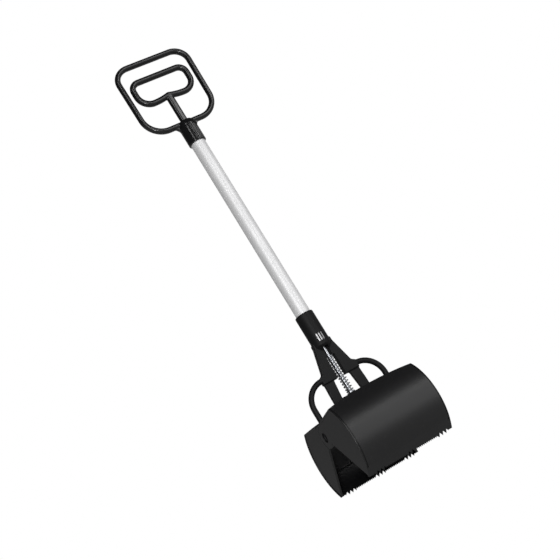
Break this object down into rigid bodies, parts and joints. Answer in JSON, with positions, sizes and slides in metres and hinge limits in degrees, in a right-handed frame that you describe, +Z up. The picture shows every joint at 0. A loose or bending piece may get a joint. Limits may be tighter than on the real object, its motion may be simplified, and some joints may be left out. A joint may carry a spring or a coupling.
{
  "type": "pooper scooper",
  "caption": "Long-handled pooper scooper: toothed clamshell jaws on one hinge pin, opened by a pull trigger in the D grip, with an aluminium tube and a return spring.",
  "frame": {"origin": "on the ground, midway between the open jaws' tooth tips, below the hinge pin", "axes": "+Z up the tube to the grip, +X along the hinge pin, -Y the front jaw's side"},
  "size_m": [0.132, 0.1818, 0.6835],
  "materials": {
    "jaw_plastic": "satin moulded black",
    "fork_plastic": "satin moulded black",
    "grip_plastic": "polished moulded black",
    "tube_aluminium": "satin anodised",
    "zinc_steel": "bright zinc plated",
    "black_steel": "black oxide",
    "nylon": "moulded dark grey"
  },
  "bodies": {
    "frame": {"main_tube": "tube_aluminium", "fork": "fork_plastic", "grip_frame": "grip_plastic", "fork_screw_upper": "zinc_steel", "fork_screw_lower": "zinc_steel", "grip_screw_upper": "zinc_steel", "grip_screw_lower": "zinc_steel", "hinge_pin": "black_steel", "hinge_pin_cap": "black_steel", "rod_bush": "nylon", "spring_washer_upper": "zinc_steel", "return_spring": "zinc_steel"},
    "puller": {"trigger": "grip_plastic", "pull_rod": "zinc_steel", "rod_pin": "zinc_steel", "crosshead": "nylon", "cross_pin": "zinc_steel", "spring_washer_lower": "zinc_steel"},
    "front_jaw": {"jaw_front": "jaw_plastic"},
    "rear_jaw": {"jaw_rear": "jaw_plastic"}
  },
  "joints": [
    {"name": "trigger_slide", "type": "slide", "parent": "frame", "child": "puller", "axis": [0, 0, 1], "range_m": [-0.02, 0], "deforming": ["return_spring"]},
    {"name": "front_jaw_hinge", "type": "hinge", "parent": "frame", "child": "front_jaw", "pos_m": [0, 0, 0.07693], "axis": [1, 0, 0], "range_deg": [0, 42]},
    {"name": "rear_jaw_hinge", "type": "hinge", "parent": "frame", "child": "rear_jaw", "pos_m": [0, 0, 0.07693], "axis": [-1, 0, 0], "range_deg": [0, 42]}
  ],
  "couplings": [
    {"joint": "front_jaw_hinge", "follows": "trigger_slide", "rad_per_m": -36.65},
    {"joint": "rear_jaw_hinge", "follows": "trigger_slide", "rad_per_m": -36.65}
  ]
}
